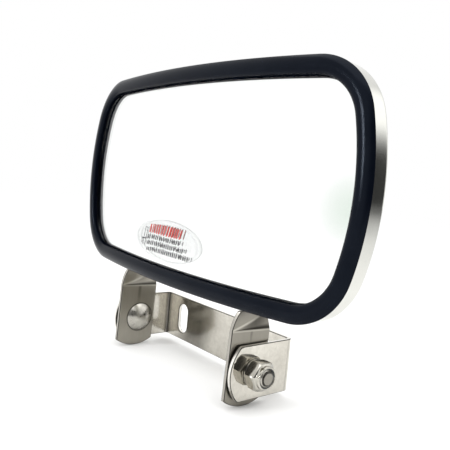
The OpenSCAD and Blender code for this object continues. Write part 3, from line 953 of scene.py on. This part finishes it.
half = ARM_W / 2
arm_loop = densified(arm_outline())
arm_holes = [circle_outline(0, z, SCREW_HOLE_R, 32) for z in SCREW_ZS]
arm_us = span(-half + 1.2, half - 1.2, 1.2)
arm_vs = span(-20, CREASE_Z - 1.5, 2.5) + [CREASE_Z - 0.5, CREASE_Z + 0.4]
arm_vs += span(CREASE_Z + 1.2, TWIST_TOP, 0.8) + span(TWIST_TOP + 2, ARM_TOP + 3, 3)
crease = (((-half + EDGE, CREASE_Z), (half - EDGE, CREASE_Z)),)
shape = sheet_part(arm_loop, arm_holes, place_arm, arm_us, arm_vs, lines=crease)
for side, name in ((-1, "left"), (1, "right")):
    shift = HEAD @ Matrix.Translation((side * ARM_X, 0, 0))
    # The arms' rounded edges take painted shade and their straight edges a softer painted highlight.
    make_piece(name + "_arm_strip", *shape[:2], "head", ARM_STEEL, "arm_steel", [name + "_arm"], shift,
               marks=shape[2], uvs=shape[3], extra=(EDGE_SHADE, EDGE_SOFT_HIGHLIGHT), weld=WELD)


def screw_mesh():
    """Button head with a hexagon socket, turned about X with the head towards +X."""
    seat = SHELL_BACK + SHEET + SCREW_WASHER_T
    top = seat + SCREW_H
    angles = even_angles(48)
    rows = [(SHELL_BACK - 6, 0.02), (SHELL_BACK - 6, SCREW_SHANK_R - 0.25), (SHELL_BACK - 5.7, SCREW_SHANK_R),
            (seat, SCREW_SHANK_R), (seat, SCREW_R - 0.1), (seat + 0.15, SCREW_R)]
    rows += [(seat + 0.7 + (SCREW_H - 0.7) * math.sin(a), 2.3 + (SCREW_R - 2.3) * math.cos(a))
             for a in [PI / 2 * i / 8 for i in range(9)]]
    rows += [(top - 0.05, 1.9, "key"), (top - 0.3, 1.7, "key"), (top - 1.8, 1.7, "key"), (top - 2.0, 0.02)]
    return lathe(rows, angles, closed=False, radius=lambda tag, x, r, a: (x, hexagon_radius(a, r)))


for side, name in ((-1, "left"), (1, "right")):
    screws, rings = [], []
    seat = SHELL_BACK + SHEET
    for z in SCREW_ZS:
        to_place = Matrix.Translation((side * ARM_X, 0, z)) @ Matrix.Rotation(PI / 2, 4, "Z")
        to_place = to_place @ Matrix.Rotation(random.uniform(0, PI), 4, "X")
        ring = washer_mesh(1, seat, seat + SCREW_WASHER_T, SCREW_WASHER_BORE, SCREW_WASHER_R, 0.15)
        for store, (points, faces) in ((screws, screw_mesh()), (rings, ring)):
            store.append(([tuple(to_place @ Vector(p)) for p in points], faces))
    head_piece(name + "_button_screws", joined(screws), BOLT_STEEL, "fastener_steel", [name + "_arm_screws"])
    head_piece(name + "_small_washers", joined(rings), BOLT_STEEL, "fastener_steel",
               [name + "_screw_washers"])

# ---- mirror head

LONG_R = (HALF_W ** 2 + LONG_BULGE ** 2) / (2 * LONG_BULGE)
SHORT_R = (HALF_H ** 2 + SHORT_BULGE ** 2) / (2 * SHORT_BULGE)


def corner_centre():
    """Centre of the corner arc that touches a long and a short edge from inside."""
    a, b = Vector((0, HALF_H - LONG_R)), Vector((HALF_W - SHORT_R, 0))
    ra, rb = LONG_R - CORNER_R, SHORT_R - CORNER_R
    d = (b - a).length
    e = (b - a) / d
    along = (ra * ra - rb * rb + d * d) / (2 * d)
    return a + along * e + math.sqrt(ra * ra - along * along) * Vector((e.y, -e.x))


def quarter(g):
    """Right-hand top quarter of the barrel outline, grown by g, from the side to the top."""
    c = corner_centre()
    short_turn = math.degrees(math.atan2(c.y, c.x - (HALF_W - SHORT_R)))
    long_turn = math.degrees(math.atan2(c.y - (HALF_H - LONG_R), c.x))
    return (deg_arc(HALF_W - SHORT_R, 0, SHORT_R + g, 0, short_turn, 16)[:-1]
            + deg_arc(c.x, c.y, CORNER_R + g, short_turn, long_turn, 18)[:-1]
            + deg_arc(0, HALF_H - LONG_R, LONG_R + g, long_turn, 90, 24))


def barrel(g):
    """The whole barrel outline, left-about, the same number of points for every g."""
    q = quarter(g)
    inner = q[1:-1]
    return (q + [(-x, z) for x, z in reversed(inner)] + [(-x, -z) for x, z in q]
            + [(x, -z) for x, z in reversed(inner)])


RUN = [0.0]                     # distance along the barrel outline, for the grain of swept pieces
for p, q in zip(barrel(0), barrel(0)[1:]):
    RUN.append(RUN[-1] + math.dist(p, q))


def on_ball(x, z, depth):
    """A point a given depth behind the front face of the glass."""
    return x, GLASS_R - math.sqrt((GLASS_R - depth) ** 2 - x * x - z * z) - CROWN_Y, z + HEAD_Z


def swept(section):
    """Sweeps (growth, level) steps round the barrel; level is a function of (x, z) or a depth."""
    points, uvs = [], []
    for r, (g, level) in enumerate(section):
        for k, (x, z) in enumerate(barrel(g)):
            points.append(level(x, z) if callable(level) else on_ball(x, z, level))
            uvs.append((RUN[k], r * 0.7))
    return points, tube_faces(len(section), len(barrel(0)), True), uvs


def plate(edge, place, front, back, rows):
    """A closed plate with a given edge, between two depths; place(x, z, depth) gives its points."""
    n = len(edge)
    points, faces = [], []
    for depth in (front, back):
        base = len(points)
        points.append(place(0, 0, depth))
        for r in range(1, rows + 1):
            points += [place(x * r / rows, z * r / rows, depth) for x, z in edge]
        faces += [(base, base + 1 + k, base + 1 + (k + 1) % n) for k in range(n)]
        for r in range(rows - 1):
            faces += band(base + 1 + r * n, base + 1 + (r + 1) * n, n)
    faces += band(base - n, len(points) - n, n)
    return points, faces


def curve(stations, n):
    """A smooth line through stations, n points to a stretch."""
    out = []
    ends = [stations[0]] + list(stations) + [stations[-1]]
    for a, b, c, d in zip(ends, ends[1:], ends[2:], ends[3:]):
        for i in range(n):
            t = i / n
            w = ((2 - t) * t - 1) * t, (3 * t - 5) * t * t + 2, ((4 - 3 * t) * t + 1) * t, (t - 1) * t * t
            out.append(tuple(sum(k * p[axis] for k, p in zip(w, (a, b, c, d))) / 2 for axis in (0, 1)))
    return out + [stations[-1]]


def gasket_section():
    """Rounded rubber bulb over the edge of the glass, with its leg inside the shell."""
    bulb = curve(((0, -0.02), (0.05, -1.2), (0.35, -2.3), (1.1, -3.15), (2.3, -3.8), (3.8, -4.12),
                  (5.4, -4.17), (7.0, -3.95), (8.4, -3.5), (9.4, -2.98), (9.95, -2.6), (RIM_W, -2.4)), 3)
    bulb += [(RIM_W - 0.05, -RIM_BACK - 0.02), (SHELL_OUT - SHELL_T - 0.05, -RIM_BACK)]
    leg = [(RIM_LEG, -2), (RIM_LEG, 4.6), (RIM_LEG - 0.4, 5), (-0.7, 5), (-1, 4.7), (-1, 3.3), (-0.8, 3.2),
           (3.2, 3.2), (3.2, -0.02)]
    return bulb + leg


points, faces, uvs = swept(gasket_section())
head_piece("rim_rubber_profile", (points, faces), RUBBER, "rim_rubber", ["rim_gasket"], uvs=uvs,
           weighted=False)


def shell_piece():
    """Pressed shell: a wall that follows the glass, a rounded edge and a flat back, SHELL_T thick."""
    def level(y):
        return lambda x, z: (x, y, z + HEAD_Z)

    def wall(share):
        return lambda x, z: (x, on_ball(x, z, -RIM_BACK)[1] * (1 - share) + (SHELL_BACK - SHELL_EDGE) * share,
                             z + HEAD_Z)

    bends = [PI / 2 * i / 8 for i in range(9)]
    outer = [(SHELL_OUT, wall(share)) for share in (0, 0.015, 0.2, 0.4, 0.6, 0.8)]
    outer += [(SHELL_OUT - SHELL_EDGE * (1 - math.cos(a)), level(SHELL_BACK - SHELL_EDGE * (1 - math.sin(a))))
              for a in bends]
    r = SHELL_EDGE - SHELL_T
    inner = [(SHELL_OUT - SHELL_T - r * (1 - math.cos(a)),
              level(SHELL_BACK - SHELL_T - r * (1 - math.sin(a)))) for a in reversed(bends)]
    inner += [(SHELL_OUT - SHELL_T, wall(i / 6)) for i in range(5, -1, -1)]
    points, faces, uvs = swept(outer + inner)
    n = len(barrel(0))
    gap = len(outer) - 1
    faces = [f for f in faces if not (f[0] // n == gap and f[2] // n == gap + 1)]
    rings = 10
    for row, y in ((gap, SHELL_BACK), (gap + 1, SHELL_BACK - SHELL_T)):
        start = row * n
        edge = points[start:start + n]
        for i in range(1, rings):
            share = 1 - i / rings
            faces += band(start, len(points), n)
            start = len(points)
            points += [(x * share, y, (z - HEAD_Z) * share + HEAD_Z) for x, _, z in edge]
            uvs += [((z - HEAD_Z) * share * 0.05, x * share * 0.5) for x, _, z in edge]
        faces += [(start + k, start + (k + 1) % n, len(points)) for k in range(n)]
        points.append((0, y, HEAD_Z))
        uvs.append((0, 0))
    return points, faces, uvs


points, faces, uvs = shell_piece()
on_back = [int(all(points[i][1] > SHELL_BACK - 0.01 for i in face)) for face in faces]
head_piece("shell_pressing", (points, faces), SHELL_STEEL, "shell_steel", ["back_shell"], uvs=uvs,
           marks=on_back, extra=(BACK_STEEL,))


points, faces = plate(barrel(GLASS_GRIP), on_ball, 0, GLASS_T, 40)
silvered = [int(min(face) >= len(points) // 2) for face in faces]
head_piece("silvered_glass", (points, faces), GLASS, "mirror", ["mirror_glass"], weighted=False,
           marks=silvered, extra=(SILVER,))


def foam_piece():
    """Soft block between the glass and the shell, with rounded edges and slightly drawn-in sides."""
    columns, rows = 26, 24
    wide, tall = 38, 36
    points = []
    for face in (0, 1):
        for j in range(rows + 1):
            for i in range(columns + 1):
                a, b = 2 * i / columns - 1, 2 * j / rows - 1
                pull = 1 - 0.012 * (1 - a * a) - 0.012 * (1 - b * b)
                x, z = wide * a * (1 - 0.02 * b ** 8) * pull, tall * b * (1 - 0.02 * a ** 8) * pull
                rim = max(0, max(abs(a), abs(b)) - 0.93) / 0.07 * 0.8
                front = on_ball(x, z, GLASS_T + 0.05 + rim)
                points.append(front if face == 0 else (x, SHELL_BACK - SHELL_T - 0.05 - rim, z + HEAD_Z))
    n, m = columns + 1, (columns + 1) * (rows + 1)
    faces = grid_faces(columns, rows) + grid_faces(columns, rows, m)
    ring = [i for i in range(n)] + [j * n + columns for j in range(1, rows + 1)]
    ring += [rows * n + i for i in range(columns - 1, -1, -1)] + [j * n for j in range(rows - 1, 0, -1)]
    faces += [(ring[k - 1], ring[k], m + ring[k], m + ring[k - 1]) for k in range(len(ring))]
    head_piece("foam_block", (points, faces), FOAM, "foam", ["foam_pad"], weighted=False)


foam_piece()

# ---- label: clear film with a generic print

FILM_TOP = -0.15
FILM_BACK = -0.02


def label_point(x, z, depth):
    return on_ball(x + LABEL_X, z + LABEL_Z - HEAD_Z, depth)


def label_film():
    edge = [(LABEL_W / 2 * math.cos(a), LABEL_H / 2 * math.sin(a)) for a in even_angles(96)]
    head_piece("label_film_clear", plate(edge, label_point, FILM_TOP, FILM_BACK, 8), FILM, "label_film",
               ["film_label"], weighted=False)


def patch(corners, steps=6):
    """A thin printed quad on the film, from four (x, z) corners given left-about."""
    points = []
    for depth in (FILM_TOP - 0.03, FILM_TOP - 0.005):
        for i in range(steps + 1):
            t = i / steps
            for a, b in ((corners[0], corners[1]), (corners[3], corners[2])):
                points.append(label_point(a[0] + (b[0] - a[0]) * t, a[1] + (b[1] - a[1]) * t, depth))
    m = 2 * (steps + 1)
    faces = []
    for i in range(steps):
        a = 2 * i
        faces += [(a, a + 2, a + 3, a + 1), (m + a, m + a + 1, m + a + 3, m + a + 2)]
        faces += [(a, m + a, m + a + 2, a + 2), (a + 1, a + 3, m + a + 3, m + a + 1)]
    faces += [(0, 1, m + 1, m), (m - 2, 2 * m - 2, 2 * m - 1, m - 1)]
    return points, faces


def bar(x0, x1, z0, z1, lean=0.0):
    return patch([(x0, z0), (x1, z0), (x1 + lean, z1), (x0 + lean, z1)])


SLANT = 0.34                    # the print leans over by this share of its height
HEADING_HALF = 20


def label_heading():
    """Upright strokes, taller towards the middle."""
    parts = []
    x = -HEADING_HALF
    while x < HEADING_HALF - 3:
        width = random.uniform(1.1, 1.6)
        rise = 0.9 * math.cos(x / HEADING_HALF * PI / 2)
        low, high = 3.5 - 0.3 * rise, 9.2 + rise
        parts.append(bar(x, x + width, low, high, SLANT * (high - low)))
        x += width + random.uniform(1.3, 2.1)
    head_piece("label_heading", joined(parts), RED_INK, "label_film")


def label_rows():
    """Three rows of fine strokes with uneven tops."""
    parts = []
    for row, (x0, x1) in enumerate(((-21.5, 17), (-22.0, 21), (-22.5, 26))):
        x = x0
        low = -0.6 - 4.2 * row
        while x < x1:
            width = random.uniform(0.9, 1.3)
            tall = random.uniform(2.1, 2.8)
            parts.append(bar(x, x + width, low, low + tall, SLANT * tall))
            x += width + random.choice((0.8, 1.0, 1.2, 1.8))
    head_piece("label_rows", joined(parts), GREY_INK, "label_film")


def label_mark():
    """A few plain lines beside the rows."""
    parts = [bar(-28.3, -27.7, -6, 6.6, 3.4), bar(-25.5, -24.9, -6, 6.6, 3.4), bar(-25.0, -21.5, 6.1, 6.6)]
    parts += [bar(-29.8, -23.4, -1.7, -1.1), bar(-29.8, -29.2, -5, -1.1, 1)]
    head_piece("label_mark", joined(parts), GREY_INK, "label_film")


def label_border():
    """A thin line along the edge of the film."""
    def on_edge(a, margin):
        return (LABEL_W / 2 - margin) * math.cos(a), (LABEL_H / 2 - margin) * math.sin(a)

    steps = even_angles(96)
    parts = [patch([on_edge(a, 0.5), on_edge(b, 0.5), on_edge(b, 0.25), on_edge(a, 0.25)], 1)
             for a, b in zip(steps, steps[1:] + steps[:1])]
    head_piece("label_border", joined(parts), PALE_INK, "label_film", weld=0.01)


label_film()
label_heading()
label_rows()
label_mark()
label_border()

# ---- CAD nodes that stay

for node in ("left_clinch_nuts", "right_clinch_nuts"):
    kept = frame["nodes"][node]
    kept.data.materials.clear()
    kept.data.materials.append(BOLT_STEEL)

# ---- floor, light and camera

FLOOR_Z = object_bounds()[0].z - 0.1 * MM
FLOOR_HALF = 1.6
STUDIO_GLOW = 1.05
FLOOR_GLOW = 1.06
GLOW_FROM, GLOW_TO = 0.2, 0.6           # metres from the middle, where the floor's glow sets in
DARK_FROM, DARK_TO = 0.45, 1.3          # the same for its dark part
DARK_BEHIND = (0.57, 0.81, 0.07)
# Parts of the studio: direction, degrees of the even middle, degrees where it ends, how much darker
ZONES = (((0.77, -0.62, 0.1), 22, 48, 0.93), (DARK_BEHIND, 6, 18, 0.97), ((0.45, 0.75, 0.55), 8, 26, -0.6))


def make_floor():
    """White paper that glows towards its far parts. Its far right is dark in reflections only."""
    mesh = bpy.data.meshes.new("floor")
    n = 8
    points = [(FLOOR_HALF * (2 * i / n - 1), FLOOR_HALF * (2 * j / n - 1), FLOOR_Z)
              for j in range(n + 1) for i in range(n + 1)]
    mesh.from_pydata(points, [], grid_faces(n, n))
    floor = new_object("floor", mesh)
    look = Look("floor_paper", Specular_IOR_Level=0.1)
    fibre = look.noise(120, detail=4)
    look.colour(look.blend(fibre, (0.93, 0.93, 0.925), (0.95, 0.95, 0.945)))
    look.rough(look.ranged(fibre, 0.7, 0.8))
    place = look.add("ShaderNodeNewGeometry").outputs["Position"]
    reach = look.add("ShaderNodeVectorMath", operation="LENGTH")
    look.link(place, reach.inputs[0])
    reach = reach.outputs["Value"]
    toward = look.toward(place, DARK_BEHIND[:2] + (0,))
    share = look.maths("DIVIDE", toward, reach)
    off_side = look.times(look.ranged(share, 0, 0.85, 0.86, 0.97),
                          look.ranged(toward, 0, 1, DARK_FROM, DARK_TO))
    seen = look.add("ShaderNodeLightPath").outputs["Is Camera Ray"]
    off_side = look.times(off_side, look.maths("SUBTRACT", 1, seen))
    glow = look.add("ShaderNodeEmission", Color=(1, 1, 1, 1))
    look.link(look.times(look.maths("SUBTRACT", 1, off_side), FLOOR_GLOW), glow.inputs["Strength"])
    share = look.ranged(reach, 0.06, 1, GLOW_FROM, GLOW_TO)
    look.surface(look.mixed(share, look.bsdf.outputs[0], glow.outputs[0]))
    mesh.materials.append(look.material)


def make_light(name, place, aim, size, power):
    """A rectangular lamp at a place, aimed at a point."""
    lamp = bpy.data.lights.new(name, "AREA")
    lamp.shape = "RECTANGLE"
    lamp.size, lamp.size_y = size
    lamp.energy = power
    light = new_object(name, lamp)
    light.location = place
    light.rotation_euler = (Vector(aim) - Vector(place)).to_track_quat("-Z", "Y").to_euler()


CAM_AZ = 50.12
CAM_EL = 5.32
CAM_ROLL = 5.09
CAM_TARGET = Vector((-14.91, 6.19, 74.4)) * MM
CAM_DISTANCE = 400 * MM
CAM_LENS = 45.24
SENSOR = 36


def make_camera():
    data = bpy.data.cameras.new("camera")
    data.lens = CAM_LENS
    data.sensor_width = SENSOR
    data.clip_start = 0.01
    camera = new_object("camera", data)
    a, e, roll = (math.radians(angle) for angle in (CAM_AZ, CAM_EL, CAM_ROLL))
    back = Vector((math.sin(a) * math.cos(e), -math.cos(a) * math.cos(e), math.sin(e)))
    right = Vector((math.cos(a), math.sin(a), 0))
    up = back.cross(right)
    r2 = math.cos(roll) * right + math.sin(roll) * up
    u2 = -math.sin(roll) * right + math.cos(roll) * up
    turn = Matrix((r2, u2, back)).transposed().to_4x4()
    camera.matrix_world = Matrix.Translation(CAM_TARGET + back * CAM_DISTANCE) @ turn
    bpy.context.scene.camera = camera


def make_world():
    """White to the camera. In reflections it is darker to the right in front and low to the right behind,
    and brighter above that."""
    world = bpy.data.worlds.new("studio")
    bpy.context.scene.world = world
    world.use_nodes = True
    world.node_tree.nodes.clear()
    nodes = Nodes(world.node_tree)

    def zone(direction, near, far):
        """1 within near degrees of a direction, fading to 0 at far degrees."""
        toward = nodes.toward(nodes.coords.outputs["Generated"], direction)
        return nodes.ranged(toward, 0, 1, math.cos(math.radians(far)), math.cos(math.radians(near)),
                            interpolation_type="SMOOTHSTEP")

    strength = STUDIO_GLOW
    for direction, near, far, depth in ZONES:
        rest = nodes.maths("SUBTRACT", 1, nodes.times(zone(direction, near, far), depth))
        strength = nodes.times(rest, strength)
    studio = nodes.add("ShaderNodeBackground", Color=(1, 1, 1, 1))
    nodes.link(strength, studio.inputs["Strength"])
    white = nodes.add("ShaderNodeBackground", Color=(1, 1, 1, 1), Strength=1.0)
    seen = nodes.add("ShaderNodeLightPath").outputs["Is Camera Ray"]
    output = nodes.add("ShaderNodeOutputWorld")
    nodes.link(nodes.mixed(seen, studio.outputs[0], white.outputs[0]), output.inputs["Surface"])


make_floor()
make_world()
make_light("top_softbox", (0.1, -0.15, 1.1), (0, 0, 0), (1.4, 1.4), 9)
make_light("strip_softbox", (-0.4, -1.45, 0.46), (0.1, -0.05, 0.12), (0.06, 0.42), 6)
make_camera()
bpy.context.scene.view_settings.view_transform = "Standard"
